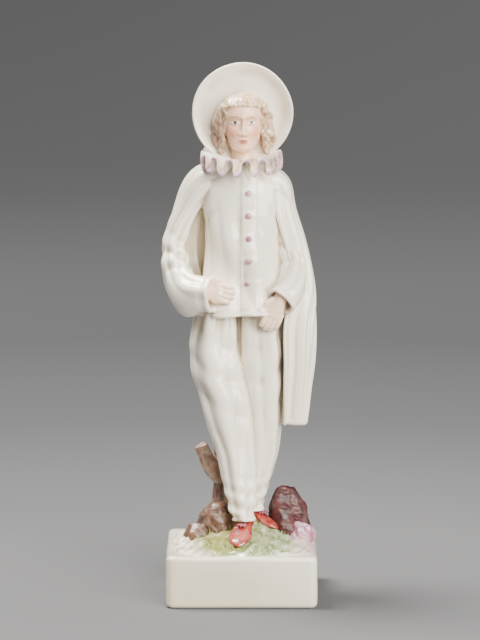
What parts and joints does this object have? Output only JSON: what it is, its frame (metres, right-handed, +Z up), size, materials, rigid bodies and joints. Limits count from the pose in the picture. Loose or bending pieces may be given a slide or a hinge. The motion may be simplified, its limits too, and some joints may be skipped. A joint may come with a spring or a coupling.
{
  "type": "porcelain commedia figure",
  "caption": "Standing porcelain comedy figure in a loose white costume with round hat, ruff and cape, on a square plinth, made in one piece as a table or cabinet ornament.",
  "frame": {"origin": "middle of the plinth's flat underside", "axes": "+Z up, the figure faces -Y, and +X is towards the figure's own left, where the cape hangs"},
  "size_m": [0.0521, 0.05, 0.1786],
  "materials": {
    "glazed_porcelain": "warm white glaze with painted enamel: flesh, light brown hair, red shoes, lilac ruff edges, brown stump and rock, dark red rock, lilac stone and green grass"
  },
  "bodies": {
    "root": {"porcelain_figure": "glazed_porcelain"}
  },
  "joints": []
}
